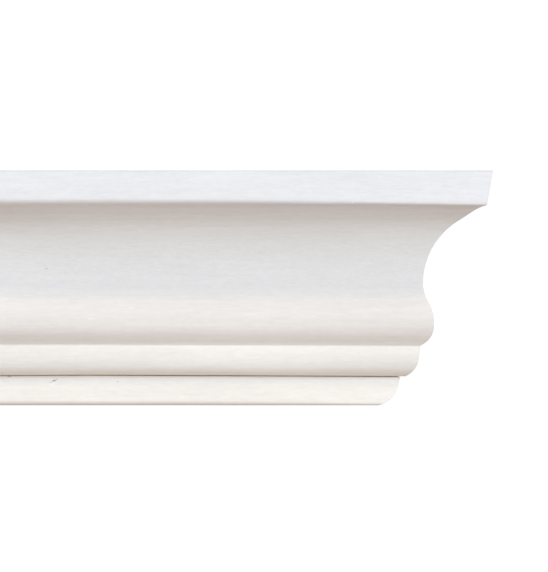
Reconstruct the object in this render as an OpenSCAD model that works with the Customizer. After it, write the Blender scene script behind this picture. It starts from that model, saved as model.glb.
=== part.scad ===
// Crown moulding length with a sprung back: +X runs along the wall to the mitred end,
// -Y points into the room, +Z is up, and the origin is at the middle of the face that meets the wall.
// Profile sizes are distances out from the wall and heights above the lower edge.

/* [Overall] */
// Length along the front, from the square end to the point of the mitre
length = 215; // [180:5:1200]
// Height that the moulding covers on the wall
drop = 100; // [98:1:106]
// Depth that the moulding covers on the ceiling
projection = 60; // [58:1:64]

/* [Fascia] */
// Height of the flat top band
fascia_h = 13.8; // [12:0.2:16]
// Lean of the top band out of plumb, in degrees
fascia_cant = 9.5; // [6:0.5:12]
// Radius of the top band's upper arris
top_arris_r = 0.3; // [0.2:0.1:1.4]
// Radius of the top band's lower arris
low_arris_r = 1.6; // [0.4:0.1:2.4]

/* [Cove] */
// Distance of the hollowest line from the wall
cove_out = 31; // [30:0.5:32]
// Radius of the hollow
cove_r = 31; // [29:0.5:32]
// Slope at which the hollow runs straight on to the top band, in degrees
cove_slope = 58; // [54:1:60]
// Share of the curve down to the bead that is hollow
hollow_share = 0.48; // [0.3:0.02:0.6]

/* [Bead] */
// Distance of the bead's crown from the wall
bead_out = 35.6; // [34.6:0.1:36]
// Radius of the bead's underside
bead_r = 9; // [8:0.5:11]
// Distance of the bead's foot from the wall
bead_foot_out = 30.2; // [30.2:0.1:31]
// Height of the upright stretch at the bead's crown
bead_flat = 1.5; // [0.5:0.1:3]

/* [Fillet and ovolo] */
// Height of the fillet's upper edge
fillet_top = 26; // [25:0.2:27]
// Distance of the fillet's upper edge from the wall
fillet_out = 30; // [29:0.1:30]
// Lean of the fillet out of plumb, in degrees
fillet_cant = 7; // [3:0.5:9]
// Radius of the ovolo
ovolo_r = 9.9; // [9:0.1:10.5]
// Slope of the ovolo at its foot, in degrees
ovolo_turn = 61; // [56:1:75]

/* [Lip] */
// Height of the lip
lip_h = 12.6; // [11:0.1:13]
// Distance of the lip's upper edge from the wall
lip_out = 21.5; // [20:0.1:22]
// Lean of the lip out of plumb, in degrees
lip_cant = 12; // [6:0.5:14]
// Radius of the lip's upper arris
lip_top_r = 0.3; // [0.2:0.1:0.6]
// Radius of the lip's lower arris
lip_low_r = 1.6; // [0.6:0.1:2.4]
// Height of the groove between lip and ovolo
quirk_w = 0.5; // [0.3:0.1:0.8]
// Depth of the groove behind the lip's upper edge
quirk_d = 1.8; // [1:0.1:3]

/* [Rounded corner at the mitre] */
// Height at which the lip's point starts to round off
corner_top = 8; // [6:0.2:9]
// Distance that the rounding takes the point back at the underside
corner_run = 6.9; // [5:0.1:8]
// Radius of the rounding
corner_r = 12.8; // [11:0.2:18]

/* [Back] */
// Height of the flat that bears on the wall
wall_land = 26; // [20:1:28]
// Depth of the flat that bears on the ceiling
ceiling_land = 15; // [12:1:16]
// Angle of the end cut across the plan, in degrees
mitre_angle = 45; // [30:1:45]

/* [Hidden] */
arc_step = 3;
over = 1;
wall_length = length - projection * tan(mitre_angle);
mitre_x = wall_length / 2;

// Points of an arc about centre c, from angle a0 to a1, with a point every few degrees.
function arc(c, r, a0, a1) =
    let (n = ceil(abs(a1 - a0) / arc_step))
    [for (i = [0:n]) c + r * [cos(a0 + (a1 - a0) * i / n), sin(a0 + (a1 - a0) * i / n)]];

// Points that round off the corner b between neighbours a and c.
function eased(a, b, c, r) =
    let (
        u = (a - b) / norm(a - b),
        v = (c - b) / norm(c - b),
        half = acos(u * v) / 2,
        m = b + (u + v) / norm(u + v) * r / sin(half),
        p = b + u * r / tan(half) - m,
        q = b + v * r / tan(half) - m,
        a0 = atan2(p[1], p[0]),
        turn = atan2(p[0] * q[1] - p[1] * q[0], p * q)
    )
    arc(m, r, a0, a0 + turn);

// Centre of the arc of radius r that bulges to the right on its way up from a to b.
function arc_centre(a, b, r) =
    let (
        d = b - a,
        h = sqrt(r * r - d * d / 4)
    )
    (a + b) / 2 + h * [-d[1], d[0]] / norm(d);

// Lip and groove.
lip_top = [lip_out, lip_h];
lip_low = [lip_out - lip_h * tan(lip_cant), 0];
quirk_in = lip_out - quirk_d;
ovolo_foot_z = lip_h + quirk_w;

// The ovolo is tangent to the fillet's face, and its foot is the top of the groove.
ovolo_z = ovolo_foot_z + ovolo_r * sin(ovolo_turn);
tangent_z = ovolo_z - ovolo_r * sin(fillet_cant);
ovolo_x = fillet_out - (fillet_top - tangent_z) * tan(fillet_cant) - ovolo_r * cos(fillet_cant);

// The bead's underside springs from its foot and turns upright at its crown.
bead_side = acos(1 - (bead_out - bead_foot_out) / bead_r);
crown_low = fillet_top + bead_r * sin(bead_side);
crown_z = crown_low + bead_flat;

// The cove's arc is tangent to a straight run that ends at the top band's lower arris.
band_low = [projection - fascia_h * tan(fascia_cant), drop - fascia_h];
cove_end_x = cove_out + cove_r * (1 - cos(cove_slope));
cove_run = (band_low[0] - cove_end_x) / sin(cove_slope);
cove_z = band_low[1] - cove_run * cos(cove_slope) - cove_r * sin(cove_slope);
cove_end = [cove_end_x, cove_z + cove_r * sin(cove_slope)];

// Two arcs that meet on one tangent carry the cove down into the bead.
sway = 2 * atan((bead_out - cove_out) / (cove_z - crown_z));
sway_r = (cove_z - crown_z) / sin(sway);
hollow_r = sway_r * hollow_share;
swell_r = sway_r - hollow_r;

// Half section from the wall outwards, counterclockwise from the lower edge at the wall.
profile = concat(
    [[0, 0]],
    eased([0, 0], lip_low, lip_top, lip_low_r),
    eased(lip_low, lip_top, [quirk_in, lip_h], lip_top_r),
    [[quirk_in, lip_h], [quirk_in, ovolo_foot_z]],
    arc([ovolo_x, ovolo_z], ovolo_r, -ovolo_turn, -fillet_cant),
    [[fillet_out, fillet_top]],
    arc([bead_out - bead_r, crown_low], bead_r, -bead_side, 0),
    arc([bead_out - swell_r, crown_z], swell_r, 0, sway - arc_step),
    arc([cove_out + hollow_r, cove_z], hollow_r, 180 + sway, 180 + arc_step),
    arc([cove_out + cove_r, cove_z], cove_r, 180, 180 - cove_slope),
    eased(cove_end, band_low, [projection, drop], low_arris_r),
    eased(band_low, [projection, drop], [0, drop], top_arris_r),
    [[projection - ceiling_land, drop], [0, wall_land]]
);

// Ends of the rounding, seen from the front, measured from the mitre's corner at the wall.
corner_low = [(lip_low[0] - corner_run) * tan(mitre_angle), 0];
corner_high = [(lip_out - (lip_h - corner_top) * tan(lip_cant)) * tan(mitre_angle), corner_top];
corner_centre = arc_centre(corner_low, corner_high, corner_r);

module full_length() {
    translate([-wall_length / 2, 0, 0])
        rotate([90, 0, 90])
            linear_extrude(length + over)
                polygon([for (p = profile) [-p[0], p[1]]]);
}

module mitre_waste() {
    reach = projection + over;
    wide = reach * tan(mitre_angle);
    translate([mitre_x, 0, -over])
        linear_extrude(drop + 2 * over)
            polygon([
                [-over * tan(mitre_angle), over],
                [wide, -reach],
                [wide + 2 * over, -reach],
                [wide + 2 * over, over]
            ]);
}

module corner_waste() {
    translate([mitre_x, over, 0])
        rotate([90, 0, 0])
            linear_extrude(lip_out + 2 * over)
                difference() {
                    translate([corner_low[0] - over, -over])
                        square([2 * lip_out, corner_top + over]);
                    translate(corner_centre)
                        circle(r = corner_r, $fn = 120);
                }
}

module crown_moulding() {
    color("whitesmoke")
        translate([0, 0, -wall_land / 2])
            difference() {
                full_length();
                mitre_waste();
                corner_waste();
            }
}

crown_moulding();
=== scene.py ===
import math
from collections import namedtuple

import bpy
import numpy as np
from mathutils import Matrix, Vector, geometry


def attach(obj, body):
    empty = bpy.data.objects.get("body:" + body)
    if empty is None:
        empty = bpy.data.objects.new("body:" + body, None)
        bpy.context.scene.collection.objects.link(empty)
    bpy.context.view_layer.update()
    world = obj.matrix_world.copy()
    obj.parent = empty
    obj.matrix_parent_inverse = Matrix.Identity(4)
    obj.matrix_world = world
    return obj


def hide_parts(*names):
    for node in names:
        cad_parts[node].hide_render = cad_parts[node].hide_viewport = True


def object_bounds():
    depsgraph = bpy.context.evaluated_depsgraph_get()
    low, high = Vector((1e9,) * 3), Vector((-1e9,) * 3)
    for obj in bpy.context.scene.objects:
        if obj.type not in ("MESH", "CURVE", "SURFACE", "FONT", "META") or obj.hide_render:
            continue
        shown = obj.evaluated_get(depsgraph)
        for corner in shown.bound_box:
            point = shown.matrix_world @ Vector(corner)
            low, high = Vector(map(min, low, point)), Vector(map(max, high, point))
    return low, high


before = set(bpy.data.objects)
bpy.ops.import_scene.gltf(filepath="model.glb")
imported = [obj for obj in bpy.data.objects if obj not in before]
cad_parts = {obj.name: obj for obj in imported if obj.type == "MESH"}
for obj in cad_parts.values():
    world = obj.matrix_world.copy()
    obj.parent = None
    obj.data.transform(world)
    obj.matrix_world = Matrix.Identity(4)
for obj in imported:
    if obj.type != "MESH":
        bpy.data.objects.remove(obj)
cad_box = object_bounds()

# The moulding is described in millimetres: "out" is the distance from the wall and "up" the height
# above its lower edge. In the frame, out is -Y and up is +Z from the middle of the wall face.
MM = 0.001
DROP = (cad_box[1].z - cad_box[0].z) / MM
PROJECTION = 60.0
WALL_LAND = -2 * cad_box[0].z / MM
CEILING_LAND = 15.0
SQUARE_X = cad_box[0].x / MM
MITRE_X = -SQUARE_X                   # where the mitre meets the wall
LENGTH = MITRE_X + PROJECTION - SQUARE_X

# Sizes of the members, in millimetres and degrees. Where a size has several values, they are its
# readings at evenly spaced places from the square end to the mitre, because the moulding wavers a
# little: its top band's lower arris is soft at the left and crisper at the right, and its lines sink
# slightly towards the mitre.
PLACES = 5
PROFILE = {
    "fascia_h": (13.93, 13.73, 13.83, 14.18, 14.86),
    "fascia_cant": 9.5,
    "top_arris_r": 0.22,
    "low_arris_r": (3.3, 3.3, 2.8, 1.8, 1.4),
    "cove_out": 31.0,
    "cove_r": 31.0,
    "cove_z": 52.34,
    "flare_end": (68.0, 68.0, 70.0, 73.0, 75.0),
    "flare_r": 15.0,
    "hollow_share": 0.48,
    "bead_out": 35.6,
    "bead_foot_out": 30.2,
    "crown_low": 34.28,
    "bead_flat": 1.5,
    "fillet_top": (26.32, 26.27, 26.1, 26.0, 25.8),
    "fillet_out": 30.0,
    "fillet_cant": 7.0,
    "ovolo_r": 9.9,
    "ovolo_turn": (61.0, 61.0, 61.0, 61.0, 65.0),
    "lip_h": (12.74, 12.95, 12.76, 12.59, 12.35),
    "lip_out": 21.5,
    "lip_cant": 12.0,
    "lip_top_r": 0.27,
    "lip_low_r": (2.4, 2.4, 2.4, 1.9, 1.2),
    "quirk_w": 0.13,
    "quirk_d": 2.2,
}
BACK_ARRIS_R = 0.5
ARRIS_STRAIGHT = 0.8                  # straight length under the low arris, as a share of its radius
LEAST_SLOPE, HALVINGS = 45.0, 40      # how the slope under the top band is searched for
BEAD_FOOT, BEAD_CUT = 0.5, 4.5        # paint softens the corner under the bead: mm, degrees

# Paint fills the groove close to the mitre: the length over which it does, how far behind the lip's
# face its skin lies, and how well it levels what is deeper.
FILL_LENGTH, FILL_DEPTH, FILL_SHARE = 1.5, 0.8, 0.9

# The lip's point at the mitre is rounded below CORNER_TOP, to an arc round an (out, up) centre.
CORNER_TOP, CORNER_R = 9.5, 11.7
CORNER_CENTRE = (9.35, 11.44)
ANYWHERE = 1e6

# Values of the mesh's paint attribute. The groove's value marks painted shade: a brown laid in the
# groove and on the ovolo's underside and rim over it, where only shade falls.
PRIMER, WORN_FOOT, WORN_TOP, THIN, PAINT, GROOVE_SHADE = 0, 0.3, 0.6, 0.8, 1, 1.5

STATION_STEP = 1.0
END_ROWS = (0.0, 0.08, 0.2, 0.45)     # distances from an end at which its arris is shaped
END_INSET = (0.09, 0.035, 0.01, 0.0)  # how far the surface is eased back at each of them
CAP_GRID, CAP_JITTER, CAP_SEED = 0.85, 0.2, 31
CAP_TOLERANCE = 1e-7
SHARP_ANGLE = 38

# Unevenness of a surface: its depth, the size of its cells both ways, its seed and a shift. The first
# way is along X and the second round the section, except on the sawn ends.
Pattern = namedtuple("Pattern", "depth cell seed shift", defaults=[(0, 0)])
WAVES = Pattern(0.05, (31, 13), 11, (9.2, 3.1))
RIPPLES = Pattern(0.012, (9, 4.3), 12, (2.7, 8.8))
RIDGES = Pattern(0.010, (46, 1.15), 14, (5.5, 0))
RIDGE_WANDER = Pattern(0.8, (40, 20), 13)
FLECKS = Pattern(0.006, (3.4, 1.05), 15, (1.5, 4.1))

PLANER_DEPTH, PLANER_PITCH = 0.03, 4.6
PLANER_WOBBLE = Pattern(0.6, (30, 9), 16)
TEARS, TEARS_ABOVE = Pattern(0.12, (14, 1.6), 17, (3.3, 0)), 0.55

SAW_DEPTH, SAW_PITCH = 0.05, 2.6
SAW_CENTRE = (-140, 190)              # Y and Z
SAW_WOBBLE = Pattern(1.2, (9, 15), 41)
END_GRAIN = Pattern(0.05, (1.7, 1.7), 42)
END_WAVER = Pattern(0.5, (1.3, 1), 21)

NICK = (-49.1, -2.4)                  # X and Z of the deepest of the small knocks
NICK_DEPTH, NICK_SIZE, NICK_TURN = 0.5, (1.1, 0.3), 20
NICK_SPAN, NICK_STEP = 2.6, 0.26      # the stations are closer here: half the stretch, their step

CAMERA_DISTANCE = 3.0
CAMERA_X, CAMERA_Z = 44.85 * MM, 38.1 * MM
CAMERA_REACH = 50
SENSOR = 36.0
FRAME_HEIGHT = 241.35 * MM            # what the camera takes in at the moulding's front

KEY_LIGHT = {
    "azimuth": 0,
    "elevation": 22,
    "distance": 3.8,
    "size": (5.2, 1.7),
    "radiance": 1.55,
    "colour": (0.97, 0.985, 1.0),
}
WORLD_STRENGTH = 1.03
VIEW_GAMMA = 0.8
FLOOR_HALF, FLOOR_LEVEL = 8.0, -1.5
FLOOR_COLOUR, FLOOR_ROUGHNESS = (0.56, 0.51, 0.47, 1), 0.9


def cosd(a):
    return math.cos(math.radians(a))


def sind(a):
    return math.sin(math.radians(a))


def tand(a):
    return math.tan(math.radians(a))


# ---------------------------------------------------------------- lines and curves

def line(a, b, n):
    """n points from a towards b, without b."""
    return [(a[0] + (b[0] - a[0]) * i / n, a[1] + (b[1] - a[1]) * i / n) for i in range(n)]


def arc(centre, r, a0, a1, n):
    """n points of an arc from angle a0 towards a1, without its last."""
    angles = [a0 + (a1 - a0) * i / n for i in range(n)]
    return [(centre[0] + r * cosd(a), centre[1] + r * sind(a)) for a in angles]


def eased(a, b, c, r, n):
    """n + 1 points that round off the corner b between its neighbours a and c."""
    b = np.array(b, float)
    u = np.array(a, float) - b
    v = np.array(c, float) - b
    u /= np.linalg.norm(u)
    v /= np.linalg.norm(v)
    half = math.acos(float(u @ v)) / 2
    middle = b + (u + v) / np.linalg.norm(u + v) * r / math.sin(half)
    p = b + u * r / math.tan(half) - middle
    q = b + v * r / math.tan(half) - middle
    start = math.degrees(math.atan2(p[1], p[0]))
    turn = math.degrees(math.atan2(p[0] * q[1] - p[1] * q[0], float(p @ q)))
    angles = [start + turn * i / n for i in range(n + 1)]
    return [(middle[0] + r * cosd(t), middle[1] + r * sind(t)) for t in angles]


def soft(a, b, c, n):
    """n points of a curve from a towards c that leans to the corner b, without c."""
    points = []
    for i in range(n):
        t = i / n
        near, middle, far = (1 - t) ** 2, 2 * t * (1 - t), t * t
        points.append(tuple(near * p + middle * q + far * r for p, q, r in zip(a, b, c)))
    return points


# ---------------------------------------------------------------- the section

# The section is a list of stretches, anticlockwise from the foot at the wall. Each is a list of points
# and how fully they are painted. The last argument of a line or curve sets how many points it has.

def sizes(place):
    """The members' sizes at one of the places."""
    return {name: v[place] if isinstance(v, tuple) else v for name, v in PROFILE.items()}


def section_corners(s):
    """The section's corners before they are eased."""
    quirk_in = s["lip_out"] - s["quirk_d"]
    return {
        "wall_foot": (0.0, 0.0),
        "lip_low": (s["lip_out"] - s["lip_h"] * tand(s["lip_cant"]), 0.0),
        "lip_top": (s["lip_out"], s["lip_h"]),
        "quirk_low": (quirk_in, s["lip_h"]),
        "quirk_high": (quirk_in, s["lip_h"] + s["quirk_w"]),
        "fillet_top": (s["fillet_out"], s["fillet_top"]),
        "band_low": (PROJECTION - s["fascia_h"] * tand(s["fascia_cant"]), DROP - s["fascia_h"]),
        "band_top": (PROJECTION, DROP),
        "back_top": (PROJECTION - CEILING_LAND, DROP),
        "back_low": (0.0, WALL_LAND),
    }


def lip(s, c, foot_end):
    """The lower edge, the lip's leaning face and the inside of the groove over it."""
    low_arc = eased(c["wall_foot"], c["lip_low"], c["lip_top"], s["lip_low_r"], 7)
    top_arc = eased(c["lip_low"], c["lip_top"], c["quirk_low"], s["lip_top_r"], 4)
    return [
        (line(foot_end, low_arc[0], 14)[1:], THIN),
        (low_arc, PAINT),
        (line(low_arc[-1], top_arc[0], 22)[1:], PAINT),
        (top_arc, PAINT),
        (line(top_arc[-1], c["quirk_low"], 3)[1:], GROOVE_SHADE),
        (line(c["quirk_low"], c["quirk_high"], 2), GROOVE_SHADE),
    ]


def ovolo_and_fillet(s, c, bead_start):
    """The ovolo that springs from the groove, the leaning fillet and the corner under the bead."""
    foot_z = s["lip_h"] + s["quirk_w"]
    ovolo_z = foot_z + s["ovolo_r"] * sind(s["ovolo_turn"])
    tangent_z = ovolo_z - s["ovolo_r"] * sind(s["fillet_cant"])
    fillet_low = s["fillet_out"] - (s["fillet_top"] - tangent_z) * tand(s["fillet_cant"])
    ovolo_x = fillet_low - s["ovolo_r"] * cosd(s["fillet_cant"])
    ovolo_foot = (ovolo_x + s["ovolo_r"] * cosd(s["ovolo_turn"]), foot_z)
    ovolo = arc((ovolo_x, ovolo_z), s["ovolo_r"], -s["ovolo_turn"], -s["fillet_cant"], 22)
    fillet_high = (s["fillet_out"] - BEAD_FOOT * tand(s["fillet_cant"]), s["fillet_top"] - BEAD_FOOT)
    return [
        # The ovolo's underside and rim take the groove's painted shade.
        (line(c["quirk_high"], ovolo_foot, 7), GROOVE_SHADE),
        (ovolo[:2], GROOVE_SHADE),
        (ovolo[2:], PAINT),
        (line((fillet_low, tangent_z), fillet_high, 11), PAINT),
        (soft(fillet_high, c["fillet_top"], bead_start, 5), PAINT),
    ]


def bead_round(s):
    """Points of the bead from just over its foot to its crown."""
    width = s["bead_out"] - s["bead_foot_out"]
    height = s["crown_low"] - s["fillet_top"]
    r = (width ** 2 + height ** 2) / (2 * width)
    side = math.degrees(math.asin(height / r))
    return arc((s["bead_out"] - r, s["crown_low"]), r, -side + BEAD_CUT, 0, 22)


def swell(s):
    """The bead's crown and the S-curve by which it flows into the cove."""
    crown_z = s["crown_low"] + s["bead_flat"]
    rise = s["cove_z"] - crown_z
    sway = math.degrees(2 * math.atan((s["bead_out"] - s["cove_out"]) / rise))
    sway_r = rise / sind(sway)
    hollow_r = sway_r * s["hollow_share"]
    swell_r = sway_r - hollow_r
    return [
        (line((s["bead_out"], s["crown_low"]), (s["bead_out"], crown_z), 3), PAINT),
        (arc((s["bead_out"] - swell_r, crown_z), swell_r, 0, sway, 18), PAINT),
        (arc((s["cove_out"] + hollow_r, s["cove_z"]), hollow_r, 180 + sway, 180, 16), PAINT),
    ]


def cove_run(s, band_low, straight):
    """The slope at which the cove runs on under the top band, and the straight length before its
    flare, so that both the cove's height and the band's lower edge come out right."""
    reach = band_low[0] - straight * sind(s["flare_end"]) - s["cove_out"]
    rise = band_low[1] - straight * cosd(s["flare_end"]) - s["cove_z"]
    low, high = LEAST_SLOPE, s["flare_end"]
    for _ in range(HALVINGS):
        a = (low + high) / 2
        flare = s["flare_r"] * (cosd(a) - cosd(s["flare_end"]))
        length = (reach - s["cove_r"] * (1 - cosd(a)) - flare) / sind(a)
        lift = s["flare_r"] * (sind(s["flare_end"]) - sind(a))
        if s["cove_r"] * sind(a) + length * cosd(a) + lift > rise:
            low = a
        else:
            high = a
    return a, length


def cove_and_band(s, c):
    """The cove, its flare and the top band with both its arrises."""
    straight = ARRIS_STRAIGHT * s["low_arris_r"]
    slope, run = cove_run(s, c["band_low"], straight)
    cove_end = (s["cove_out"] + s["cove_r"] * (1 - cosd(slope)), s["cove_z"] + s["cove_r"] * sind(slope))
    flare_low = (cove_end[0] + run * sind(slope), cove_end[1] + run * cosd(slope))
    flare_centre = (flare_low[0] + s["flare_r"] * cosd(slope), flare_low[1] - s["flare_r"] * sind(slope))
    flare_high = (c["band_low"][0] - straight * sind(s["flare_end"]),
                  c["band_low"][1] - straight * cosd(s["flare_end"]))
    low_arris = eased(flare_high, c["band_low"], c["band_top"], s["low_arris_r"], 12)
    top_arris = eased(c["band_low"], c["band_top"], c["back_top"], s["top_arris_r"], 5)
    return [
        (arc((s["cove_out"] + s["cove_r"], s["cove_z"]), s["cove_r"], 180, 180 - slope, 56), PAINT),
        (line(cove_end, flare_low, 12), PAINT),
        (arc(flare_centre, s["flare_r"], 180 - slope, 180 - s["flare_end"], 9), PAINT),
        (line(flare_high, low_arris[0], 2), PAINT),
        (low_arris, PAINT),
        (line(low_arris[-1], top_arris[0], 24)[1:], PAINT),
        (top_arris, PAINT),
    ]


def back(c, band_end, foot_start):
    """The flat under the ceiling, the sprung slope behind and the flat on the wall."""
    top_arc = eased(c["band_top"], c["back_top"], c["back_low"], BACK_ARRIS_R, 3)
    low_arc = eased(c["back_top"], c["back_low"], c["wall_foot"], BACK_ARRIS_R, 3)
    ceiling_flat = line(band_end, top_arc[0], 12)
    return [
        (ceiling_flat[1:4], WORN_TOP),
        (ceiling_flat[4:], PRIMER),
        (top_arc, PRIMER),
        (line(top_arc[-1], low_arc[0], 44)[1:], PRIMER),
        (low_arc, PRIMER),
        (line(low_arc[-1], foot_start, 14)[1:], PRIMER),
    ]


def outline(place):
    """The closed section at one of the places: its points, and how fully each is painted."""
    s = sizes(place)
    c = section_corners(s)
    foot = eased(c["back_low"], c["wall_foot"], c["lip_low"], BACK_ARRIS_R, 4)
    bead = bead_round(s)
    stretches = [(foot, WORN_FOOT)] + lip(s, c, foot[-1]) + ovolo_and_fillet(s, c, bead[0])
    stretches += [(bead, PAINT)] + swell(s) + cove_and_band(s, c)
    band_end = stretches[-1][0][-1]
    stretches += back(c, band_end, foot[0])
    points = np.array([p for stretch, _ in stretches for p in stretch])
    paint = np.array([amount for stretch, amount in stretches for _ in stretch], float)
    return points, paint


def outward(points):
    """Unit normals of a closed anticlockwise loop."""
    along = np.roll(points, -1, axis=0) - np.roll(points, 1, axis=0)
    normal = np.stack([along[:, 1], -along[:, 0]], axis=1)
    return normal / np.linalg.norm(normal, axis=1, keepdims=True)


def mitre_end(points):
    """Where along X the moulding ends at each point of its section, with the lip's point rounded."""
    out, up = points[:, 0], points[:, 1]
    half = np.sqrt(np.maximum(CORNER_R ** 2 - (CORNER_CENTRE[1] - up) ** 2, 0))
    reach = np.where(up < CORNER_TOP, CORNER_CENTRE[0] + half, ANYWHERE)
    return MITRE_X + np.minimum(out, reach)


# ---------------------------------------------------------------- the surface's unevenness

def value_noise(u, v, seed, size=64):
    """Smooth noise from -1 to 1 on a plane, from a seeded lattice."""
    lattice = np.random.default_rng(seed).uniform(-1, 1, (size, size))
    iu = np.floor(u).astype(int)
    iv = np.floor(v).astype(int)
    fu = u - iu
    fv = v - iv
    fu = fu * fu * (3 - 2 * fu)
    fv = fv * fv * (3 - 2 * fv)
    iu, iv, ju, jv = iu % size, iv % size, (iu + 1) % size, (iv + 1) % size
    low = lattice[iu, iv] * (1 - fu) + lattice[ju, iv] * fu
    high = lattice[iu, jv] * (1 - fu) + lattice[ju, jv] * fu
    return low * (1 - fv) + high * fv


def noise_of(pattern, u, v):
    """A pattern's noise, from -1 to 1, at distances u and v over its surface."""
    cell, shift = pattern.cell, pattern.shift
    return value_noise(u / cell[0] + shift[0], v / cell[1] + shift[1], pattern.seed)


def let_in(pattern, u, v):
    """How deep a pattern goes, from 0 to its depth."""
    return pattern.depth * (noise_of(pattern, u, v) + 1) / 2


def cutter_marks(far, depth, pitch, wobble):
    """The even marks of a planer's or a saw's teeth, at distances along its way."""
    return depth * (1 + np.sin(far * 2 * math.pi / pitch + wobble)) / 2


def bump_at(x, z, centre, size, angle):
    """A soft bump of height 1 at a place on the front, long one way and turned by an angle."""
    dx, dz = x - centre[0], z - centre[1]
    u = (dx * cosd(angle) + dz * sind(angle)) / size[0]
    v = (dz * cosd(angle) - dx * sind(angle)) / size[1]
    return np.exp(-(u * u + v * v) * 2)


def relief(x, s, z, paint):
    """How far the surface is let in: sanding waves and brush ridges in front, planing behind."""
    waves = let_in(WAVES, x, s)
    wander = RIDGE_WANDER.depth * noise_of(RIDGE_WANDER, x, s)
    front = waves + let_in(RIPPLES, x, s) + let_in(RIDGES, x, s + wander) + let_in(FLECKS, x, s)
    wobble = PLANER_WOBBLE.depth * noise_of(PLANER_WOBBLE, x, s)
    chatter = cutter_marks(x, PLANER_DEPTH, PLANER_PITCH, wobble)
    torn = TEARS.depth * np.maximum(noise_of(TEARS, x, s) - TEARS_ABOVE, 0)
    back_side = waves + chatter + torn
    nick = NICK_DEPTH * bump_at(x, z, NICK, NICK_SIZE, NICK_TURN) * (paint == PAINT)
    return front * paint + back_side * (1 - paint) + nick


def fill(out, share):
    """How far forward paint brings the groove's points close to the mitre, as a negative number."""
    filled = max(1 - (1 - share) * LENGTH / FILL_LENGTH, 0)
    return np.minimum(out - PROFILE["lip_out"] + FILL_DEPTH, 0) * FILL_SHARE * filled


def saw_marks(y, z):
    """How far an end is let in by a circular saw: arcs round a far centre, and rough end grain."""
    far = np.hypot(y - SAW_CENTRE[0], z - SAW_CENTRE[1])
    wobble = SAW_WOBBLE.depth * noise_of(SAW_WOBBLE, far, y)
    return cutter_marks(far, SAW_DEPTH, SAW_PITCH, wobble) + let_in(END_GRAIN, y, z)


# ---------------------------------------------------------------- the mesh

def stations():
    """Shares of the length at which the section is placed, closer at the ends and round the nick."""
    count = int(LENGTH / STATION_STEP)
    centre = (NICK[0] - SQUARE_X) / (LENGTH - PROJECTION + PROFILE["lip_out"])
    near = [d / LENGTH for d in END_ROWS]
    clear = near[-1] * 2
    span = NICK_SPAN / LENGTH
    fine = list(np.arange(centre - span, centre + span, NICK_STEP / LENGTH))
    even = [t for t in np.linspace(0, 1, count + 1) if clear < t < 1 - clear]
    even = [t for t in even if abs(t - centre) > span]
    return np.array(sorted(near + even + fine + [1 - t for t in near]))


def end_inset(share):
    """How far the surface is eased back at a share of the length."""
    return float(np.interp(min(share, 1 - share) * LENGTH, END_ROWS, END_INSET))


def girth(points):
    """The distance round a closed loop at which each of its points lies."""
    steps = np.linalg.norm(np.roll(points, -1, axis=0) - points, axis=1)
    return np.concatenate([[0], np.cumsum(steps)[:-1]])


def section_at(sections, share):
    """The section at a share of the length, blended from those at the places beside it."""
    k = min(int(share * (PLACES - 1)), PLACES - 2)
    t = share * (PLACES - 1) - k
    return sections[k] * (1 - t) + sections[k + 1] * t


def x_at(points, share):
    """Where along X a section's points lie at a share of the length."""
    return SQUARE_X + (mitre_end(points) - SQUARE_X) * share


def section_rows():
    """The rings of points along the moulding, and each ring point's paint and height halfway along."""
    made = [outline(place) for place in range(PLACES)]
    sections = np.array([points for points, _ in made])
    paint = made[0][1]
    s = girth(sections.mean(axis=0))
    rows = []
    for share in stations():
        points = section_at(sections, share)
        z = points[:, 1] - WALL_LAND / 2
        ragged = 1 + END_WAVER.depth * noise_of(END_WAVER, s, np.full(len(s), share))
        depth = relief(x_at(points, share), s, z, np.minimum(paint, PAINT)) + end_inset(share) * ragged
        moved = points - outward(points) * depth[:, None]
        moved[:, 0] -= fill(moved[:, 0], share) * (paint == GROOVE_SHADE)
        moved[:, 0] = np.maximum(moved[:, 0], 0)
        z = moved[:, 1] - WALL_LAND / 2
        rows.append(np.column_stack([x_at(moved, share), -moved[:, 0], z]))
    return np.array(rows), paint, sections[PLACES // 2][:, 1]


def inside(loop, y, z):
    """True where points are inside a closed loop, by counting crossings."""
    ends = np.roll(loop, -1, axis=0)
    found = np.zeros(len(y), bool)
    for a, b in zip(loop, ends):
        if a[1] == b[1]:
            continue
        crosses = (a[1] > z) != (b[1] > z)
        found ^= crosses & (a[0] + (z - a[1]) * (b[0] - a[0]) / (b[1] - a[1]) > y)
    return found


def grid_inside(loop):
    """The Y and Z of a slightly uneven grid of points inside a loop, clear of its edge."""
    low, high = loop.min(axis=0), loop.max(axis=0)
    grid = np.meshgrid(np.arange(low[0], high[0], CAP_GRID), np.arange(low[1], high[1], CAP_GRID))
    y, z = (g.ravel() for g in grid)
    rng = np.random.default_rng(CAP_SEED)
    y = y + rng.uniform(-CAP_JITTER, CAP_JITTER, len(y))
    z = z + rng.uniform(-CAP_JITTER, CAP_JITTER, len(z))
    gap = np.min(np.hypot(y[:, None] - loop[:, 0], z[:, None] - loop[:, 1]), axis=1)
    keep = inside(loop, y, z) & (gap > CAP_GRID * 0.5)
    return y[keep], z[keep]


def cap(ring, first, start, mitred):
    """An end's new points and its triangles. The ring's points are numbered from first, and the new
    ones inside it from start."""
    loop = ring[:, 1:]
    count = len(loop)
    y, z = grid_inside(loop)
    flat = [Vector(p) for p in loop] + [Vector(p) for p in zip(y, z)]
    edges = [(i, (i + 1) % count) for i in range(count)]
    _, _, triangles, origins, *_ = geometry.delaunay_2d_cdt(flat, edges, [], 1, CAP_TOLERANCE)
    index = [first + o[0] if o[0] < count else start + o[0] - count for o in origins]
    depth = saw_marks(y, z)
    if mitred:
        x = mitre_end(np.column_stack([-y, z + WALL_LAND / 2])) - depth
    else:
        x = SQUARE_X + depth
    corners = [[index[i] for i in triangle] for triangle in triangles]
    faces = [(a, b, c) if mitred else (a, c, b) for a, b, c in corners]
    return np.column_stack([x, y, z]), faces


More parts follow.
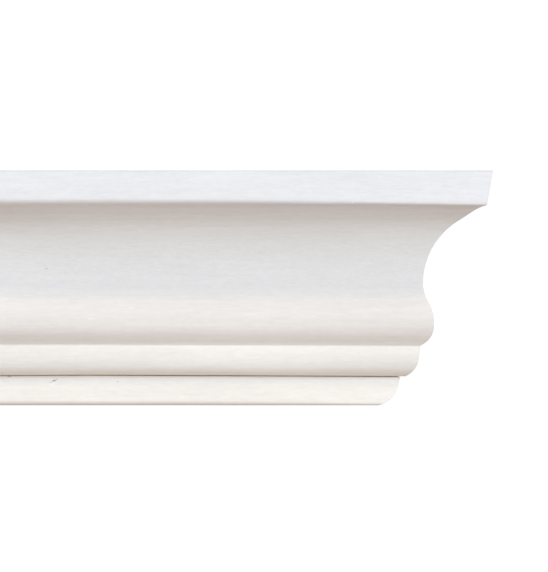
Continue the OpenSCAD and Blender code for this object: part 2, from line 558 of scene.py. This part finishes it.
def side_faces(rings, count):
    """The faces between neighbouring rings of count points each."""
    faces = []
    for i in range(rings - 1):
        a, b = i * count, (i + 1) * count
        for j in range(count):
            k = (j + 1) % count
            faces.append((a + j, b + j, b + k, a + k))
    return faces


def build_moulding():
    """The moulding as one closed mesh. Two attributes hold each point's paint, and the height that its
    line has halfway along the moulding, as a share of the drop."""
    rows, paint, heights = section_rows()
    count = len(paint)
    verts = rows.reshape(-1, 3)
    amounts = np.tile(paint, len(rows))
    levels = np.tile(heights, len(rows))
    faces = side_faces(len(rows), count)
    for row, mitred in ((0, False), (len(rows) - 1, True)):
        extra, triangles = cap(rows[row], row * count, len(verts), mitred)
        verts = np.vstack([verts, extra])
        amounts = np.concatenate([amounts, np.full(len(extra), float(PRIMER))])
        levels = np.concatenate([levels, extra[:, 2] + WALL_LAND / 2])
        faces += triangles
    mesh = bpy.data.meshes.new("painted_moulding")
    mesh.from_pydata((verts * MM).tolist(), [], faces)
    for name, values in (("paint", amounts), ("level", levels / DROP)):
        layer = mesh.attributes.new(name, "FLOAT", "POINT")
        layer.data.foreach_set("value", values.astype(np.float32))
    mesh.polygons.foreach_set("use_smooth", [True] * len(mesh.polygons))
    mesh.set_sharp_from_angle(angle=math.radians(SHARP_ANGLE))
    mesh.update()
    moulding = bpy.data.objects.new("painted_moulding", mesh)
    bpy.context.scene.collection.objects.link(moulding)
    return moulding


# ---------------------------------------------------------------- the paint

# Paint colour by the height halfway along, in hundredths of the drop, so that the tones follow the
# members where they waver. Over the paint's warm white the tones are painted light and shade: painted
# highlights on the flat lip and fillet, painted shade just over the groove, under the bead, low in the
# cove and warm under the top band, a cool painted cast of the top light on the band, and painted shade
# at the lowest and the highest edge.
PAINT_LIGHT_SHADE_TONES = (
    (0.0, (0.755, 0.735, 0.705)),
    (2.4, (0.92, 0.915, 0.905)),
    (8.0, (0.935, 0.94, 0.92)),
    (10.6, (0.90, 0.92, 0.935)),
    (12.0, (0.935, 0.965, 0.985)),
    (12.6, (0.98, 0.97, 0.955)),
    (13.8, (0.82, 0.79, 0.75)),
    (16.5, (0.88, 0.875, 0.865)),
    (20.5, (0.853, 0.842, 0.83)),
    (25.2, (0.935, 0.93, 0.92)),
    (26.8, (0.93, 0.935, 0.93)),
    (27.6, (0.85, 0.84, 0.825)),
    (29.5, (0.785, 0.755, 0.75)),
    (35.0, (0.78, 0.768, 0.757)),
    (44.5, (0.793, 0.772, 0.757)),
    (47.5, (0.735, 0.745, 0.753)),
    (50.5, (0.725, 0.737, 0.758)),
    (54.5, (0.772, 0.788, 0.81)),
    (60.0, (0.80, 0.82, 0.84)),
    (70.0, (0.832, 0.855, 0.867)),
    (75.5, (0.844, 0.85, 0.865)),
    (77.2, (0.84, 0.84, 0.843)),
    (79.0, (0.802, 0.788, 0.778)),
    (82.0, (0.765, 0.742, 0.75)),
    (86.2, (0.775, 0.752, 0.742)),
    (87.4, (0.80, 0.832, 0.88)),
    (88.8, (0.832, 0.858, 0.90)),
    (99.2, (0.832, 0.86, 0.905)),
    (100.0, (0.70, 0.725, 0.765)),
)
TONE_WANDER = 0.005                   # how far the edges of the tones stray, as a share of the drop
# Painted shade for the groove and the ovolo's underside and rim over it.
GROOVE_SHADE_COLOUR = (0.80, 0.71, 0.61, 1)
COVER, COVER_RAGGED = (0.25, 0.75), 0.2  # paint attribute at which the paint fades out, how raggedly
PRIMER_SPAN = (0.3, 0.85)             # the stretch of the wood's figure that the tones spread over
PRIMER_TONES = (
    (0, (0.84, 0.82, 0.78)),
    (0.5, (0.805, 0.782, 0.735)),
    (1, (0.745, 0.71, 0.65)),
)

# Noise of the paint and wood: cells per metre along X, Y and Z, detail, roughness, distortion, seed.
NOISES = {
    "streaks": ((60, 560, 560), 3, 0.6, 0.3, 1.1),
    "flecks": ((240, 950, 950), 2, 0.55, 0.0, 2.3),
    "blotches": ((11, 38, 38), 1, 0.5, 0.0, 6.1),
    "grain": ((14, 330, 330), 3, 0.6, 0.4, 5.2),
    "stipple": ((420, 1000, 1000), 2, 0.55, 0.0, 9.1),
    "wander": ((25, 25, 25), 2, 0.5, 0.0, 0.0),
    "ragged": ((900, 900, 900), 2, 0.5, 0.0, 0.0),
    "fibre": ((9, 300, 300), 4, 0.6, 0.3, 7.7),
}

# How each noise shades the paint: the stretch of it that counts, and the shades at its ends.
MOST = (0.2, 0.8)
SHADES = {
    "streaks": (0.25, 0.75, 0.979, 1.021),
    "flecks": (*MOST, 0.972, 1.028),
    "blotches": (0.25, 0.75, 0.977, 1.021),
    "grain": (0.3, 0.7, 0.985, 1.015),
}

# In the cove a fine stipple takes over part of the shades: the shares of the drop over which it comes
# in and fades out, what is left of the other shades, and its own shades.
COVE_LOW, COVE_HIGH = (0.46, 0.50), (0.76, 0.66)
COVE_KEEPS = 0.6
STIPPLE = (*MOST, -0.026, 0.026)

# Small marks in front: place (X, Z), size and turn, strength and colour.
DARK, PALE = (0.16, 0.14, 0.13), (0.97, 0.97, 0.97)
MARKS = (
    ((-52.1, 45.5), (0.9, 0.65), 0, 0.2, DARK),
    ((-53.0, 46.8), (0.8, 0.35), -35, 0.08, DARK),
    ((-49.1, -2.4), (1.0, 0.36), 20, 0.75, DARK),
    ((-50.3, -2.95), (1.2, 0.26), 27, 0.3, DARK),
    ((-48.0, -1.85), (0.9, 0.24), 27, 0.35, DARK),
    ((-48.3, -2.75), (0.5, 0.3), 25, 0.6, PALE),
    ((-21.9, -2.8), (0.5, 0.42), 0, 0.4, DARK),
    ((-68.3, -0.45), (1.3, 0.4), 0, 0.45, DARK),
    ((-33.0, 24.1), (2.6, 0.8), 4, 0.25, PALE),
    ((-16.0, 28.7), (2.2, 0.7), -3, 0.22, PALE),
    ((78.0, 73.4), (0.6, 0.35), 0, 0.7, PALE),
)
MARK_EDGE, MARK_RAGGED = 0.35, (0.35, 0.6)
MARK_THINNEST = 0.55
ANY_DEPTH = 1000                      # a mark's size along Y, so that depth makes no difference

# The faint ring that something round left: its place, radii, edge, strength and colour.
RING = (-15.7, 69.75)
RING_OUTER, RING_INNER, RING_EDGE = (1.9, 1.9), (1.35, 1.35), 0.8
RING_STRENGTH, RING_COLOUR = 0.06, (0.45, 0.45, 0.47, 1)

# The trunk's growth rings on the primed wood.
PITH = (0, -0.035, 0.12)              # metres from the trunk's middle to the moulding's origin
TRUNK_SCALE = (0.05, 1, 1)
GROWTH_RINGS = {"Scale": 62, "Distortion": 11.0, "Detail": 3, "Detail Scale": 0.3, "Detail Roughness": 0.55}
GROWTH_STRENGTH = 0.19

PAINT_ROUGHNESS, STREAK_ROUGHNESS, PRIMER_ROUGHNESS = (0.44, 0.56), 0.05, 0.2
BRUSHED = {"streaks": 0.9, "flecks": 0.55, "grain": 0.4}
BRUSHED_STRENGTH, BRUSHED_DEPTH = 0.5, 0.06 * MM


class Nodes:
    """Short ways to add and link shader nodes."""

    def __init__(self, material):
        self.tree = material.node_tree

    def add(self, kind, inputs=None, **settings):
        node = self.tree.nodes.new(kind)
        for name, value in settings.items():
            setattr(node, name, value)
        for name, value in (inputs or {}).items():
            if isinstance(value, bpy.types.NodeSocket):
                self.tree.links.new(value, node.inputs[name])
            else:
                node.inputs[name].default_value = value
        return node

    def math(self, operation, a, b):
        return self.add("ShaderNodeMath", {0: a, 1: b}, operation=operation).outputs[0]

    def noise(self, coords, scale, detail, roughness, distortion, seed):
        """Noise from 0 to 1, with scale cells to the metre along each axis, shifted by its seed."""
        place = self.add("ShaderNodeMapping", {
            "Vector": coords,
            "Scale": scale,
            "Location": (seed, seed * 1.7, seed * 0.6),
        })
        node = self.add("ShaderNodeTexNoise", {
            "Vector": place.outputs[0],
            "Scale": 1.0,
            "Detail": detail,
            "Roughness": roughness,
            "Distortion": distortion,
        })
        return node.outputs["Fac"]

    def remap(self, value, low, high, to_low=0.0, to_high=1.0, smooth=False):
        node = self.add("ShaderNodeMapRange", {
            "Value": value,
            "From Min": low,
            "From Max": high,
            "To Min": to_low,
            "To Max": to_high,
        })
        node.interpolation_type = "SMOOTHSTEP" if smooth else "LINEAR"
        return node.outputs[0]

    def spot(self, coords, place, size, angle, edge):
        """1 on a small mark in front, out to edge as a share of its size, falling to 0 from there."""
        turned = self.add("ShaderNodeMapping", {
            "Vector": coords,
            "Location": (place[0] * MM, 0, place[1] * MM),
            "Rotation": (0, math.radians(-angle), 0),
            "Scale": (size[0] * MM, ANY_DEPTH, size[1] * MM),
        }, vector_type="TEXTURE")
        far = self.add("ShaderNodeVectorMath", {0: turned.outputs[0]}, operation="LENGTH")
        return self.remap(far.outputs["Value"], 1.0, edge, smooth=True)

    def mix(self, kind, factor, a, b):
        node = self.add("ShaderNodeMix", data_type="RGBA", blend_type=kind)
        for socket, value in ((node.inputs[0], factor), (node.inputs[6], a), (node.inputs[7], b)):
            if isinstance(value, bpy.types.NodeSocket):
                self.tree.links.new(value, socket)
            else:
                socket.default_value = value
        return node.outputs[2]

    def ramp(self, value, stops):
        """A colour ramp. Its stops go up by position."""
        node = self.add("ShaderNodeValToRGB", {0: value})
        ends = node.color_ramp.elements
        for i, (position, colour) in enumerate(stops):
            stop = ends[i] if i < 2 else ends.new(position)
            stop.position = position
            stop.color = (*colour, 1)
        return node.outputs[0]


def paint_shade(n, noise, level):
    """The paint's uneven shade, round 1."""
    shade = 1.0
    for name, span in SHADES.items():
        shade = n.math("MULTIPLY", shade, n.remap(noise[name], *span))
    above, below = n.remap(level, *COVE_LOW, smooth=True), n.remap(level, *COVE_HIGH, smooth=True)
    cove = n.math("MULTIPLY", above, below)
    kept = n.math("MULTIPLY", n.math("SUBTRACT", shade, 1.0), n.remap(cove, 0.0, 1.0, 1.0, COVE_KEEPS))
    stippled = n.math("MULTIPLY", cove, n.remap(noise["stipple"], *STIPPLE))
    return n.math("ADD", n.math("ADD", kept, stippled), 1.0)


def add_marks(n, colour, coords, ragged):
    """A colour with the small marks and the faint ring laid over it."""
    edge = n.remap(ragged, *MARK_RAGGED)
    for place, size, angle, strength, mark_colour in MARKS:
        mask = n.math("MULTIPLY", n.spot(coords, place, size, angle, MARK_EDGE), strength)
        mask = n.math("MULTIPLY", mask, n.remap(edge, 0, 1, MARK_THINNEST, 1.0))
        colour = n.mix("MIX", mask, colour, (*mark_colour, 1))
    outer = n.spot(coords, RING, RING_OUTER, 0, RING_EDGE)
    ring = n.math("SUBTRACT", outer, n.spot(coords, RING, RING_INNER, 0, RING_EDGE))
    return n.mix("MIX", n.math("MULTIPLY", ring, RING_STRENGTH), colour, RING_COLOUR)


def paint_colour(n, noise, level, coords):
    """The paint's colour with painted light and shade: the members' tones, which hold painted highlights
    and shade, its random shades and the marks on it.
    """
    wander = n.remap(noise["wander"], 0, 1, -0.5, 0.5)
    level = n.math("ADD", level, n.math("MULTIPLY", wander, TONE_WANDER))
    # The height ramp lays painted light and shade over the paint.
    painted_light_tone = n.ramp(level, [(height / 100, colour) for height, colour in PAINT_LIGHT_SHADE_TONES])
    shade = paint_shade(n, noise, level)
    grey = n.add("ShaderNodeCombineColor", {0: shade, 1: shade, 2: shade}).outputs[0]
    return add_marks(n, n.mix("MULTIPLY", 1.0, painted_light_tone, grey), coords, noise["ragged"])


def primer_colour(n, noise, coords):
    """Thin primer, with the wood's growth rings and fibre showing through."""
    trunk = n.add("ShaderNodeMapping", {"Vector": coords, "Location": PITH, "Scale": TRUNK_SCALE})
    rings = n.add("ShaderNodeTexWave", {"Vector": trunk.outputs[0], **GROWTH_RINGS},
                  wave_type="RINGS", rings_direction="X").outputs["Fac"]
    figure = n.math("ADD", n.math("MULTIPLY", rings, GROWTH_STRENGTH), noise["fibre"])
    return n.ramp(n.remap(figure, *PRIMER_SPAN), PRIMER_TONES)


def surface_roughness(n, noise, cover):
    """Satin where there is paint, and flatter on the primer."""
    rough = n.remap(noise["blotches"], *MOST, *PAINT_ROUGHNESS)
    rough = n.math("ADD", rough, n.remap(noise["streaks"], *MOST, -STREAK_ROUGHNESS, STREAK_ROUGHNESS))
    return n.math("ADD", rough, n.remap(cover, 0, 1, PRIMER_ROUGHNESS, 0.0))


def brushed_normal(n, noise):
    """The fine relief of brush marks."""
    height = 0.0
    for name, share in BRUSHED.items():
        height = n.math("ADD", height, n.math("MULTIPLY", noise[name], share))
    bump = {"Height": height, "Strength": BRUSHED_STRENGTH, "Distance": BRUSHED_DEPTH}
    return n.add("ShaderNodeBump", bump).outputs[0]


def painted_wood():
    """Satin off-white paint over wood, fading to primer where the moulding meets wall and ceiling."""
    material = bpy.data.materials.new("satin_paint")
    material.use_nodes = True
    n = Nodes(material)
    coords = n.add("ShaderNodeTexCoord").outputs["Object"]
    paint = n.add("ShaderNodeAttribute", attribute_name="paint").outputs["Fac"]
    level = n.add("ShaderNodeAttribute", attribute_name="level").outputs["Fac"]
    noise = {name: n.noise(coords, *values) for name, values in NOISES.items()}

    worn = n.math("ADD", paint, n.remap(noise["streaks"], *MOST, -COVER_RAGGED, COVER_RAGGED))
    cover = n.remap(worn, *COVER, smooth=True)
    primer = primer_colour(n, noise, coords)
    colour = n.mix("MIX", cover, primer, paint_colour(n, noise, level, coords))
    # Painted shade: the groove and the ovolo's rim over it darken to a brown.
    groove_shade = n.remap(paint, PAINT, GROOVE_SHADE, smooth=True)
    colour = n.mix("MIX", groove_shade, colour, GROOVE_SHADE_COLOUR)

    shader = n.tree.nodes["Principled BSDF"]
    n.tree.links.new(colour, shader.inputs["Base Color"])
    n.tree.links.new(surface_roughness(n, noise, cover), shader.inputs["Roughness"])
    n.tree.links.new(brushed_normal(n, noise), shader.inputs["Normal"])
    return material


def floor_material():
    material = bpy.data.materials.new("pale_floor")
    material.use_nodes = True
    shader = material.node_tree.nodes["Principled BSDF"]
    shader.inputs["Base Color"].default_value = FLOOR_COLOUR
    shader.inputs["Roughness"].default_value = FLOOR_ROUGHNESS
    return material


# ---------------------------------------------------------------- the studio

def add_camera():
    data = bpy.data.cameras.new("camera")
    data.sensor_width = SENSOR
    data.lens = SENSOR * (CAMERA_DISTANCE - PROJECTION * MM) / FRAME_HEIGHT
    data.clip_end = CAMERA_REACH
    camera = bpy.data.objects.new("camera", data)
    camera.location = (CAMERA_X, -CAMERA_DISTANCE, CAMERA_Z)
    camera.rotation_euler = (math.radians(90), 0, 0)
    bpy.context.scene.collection.objects.link(camera)
    bpy.context.scene.camera = camera


def add_softbox(name, azimuth, elevation, distance, size, radiance, colour):
    """A large soft light that looks at the moulding, of a given brightness."""
    data = bpy.data.lights.new(name, "AREA")
    data.shape = "RECTANGLE"
    data.size, data.size_y = size
    data.energy = radiance * math.pi * size[0] * size[1]
    data.color = colour
    light = bpy.data.objects.new(name, data)
    flat = distance * cosd(elevation)
    light.location = (flat * sind(azimuth), -flat * cosd(azimuth), distance * sind(elevation))
    light.rotation_euler = (math.radians(90 - elevation), 0, math.radians(azimuth))
    bpy.context.scene.collection.objects.link(light)


def add_floor():
    half, level = FLOOR_HALF, FLOOR_LEVEL
    corners = [(-half, -half, level), (half, -half, level), (half, half, level), (-half, half, level)]
    mesh = bpy.data.meshes.new("floor")
    mesh.from_pydata(corners, [], [(0, 1, 2, 3)])
    mesh.materials.append(floor_material())
    floor = bpy.data.objects.new("floor", mesh)
    bpy.context.scene.collection.objects.link(floor)


def add_world():
    world = bpy.data.worlds.new("studio")
    world.use_nodes = True
    background = world.node_tree.nodes["Background"]
    background.inputs["Color"].default_value = (1, 1, 1, 1)
    background.inputs["Strength"].default_value = WORLD_STRENGTH
    bpy.context.scene.world = world


add_camera()
moulding = build_moulding()
moulding.data.materials.append(painted_wood())
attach(moulding, "root")
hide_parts("crown_moulding")
add_floor()
add_world()
add_softbox("key", **KEY_LIGHT)
bpy.context.scene.view_settings.view_transform = "Standard"
bpy.context.scene.view_settings.gamma = VIEW_GAMMA
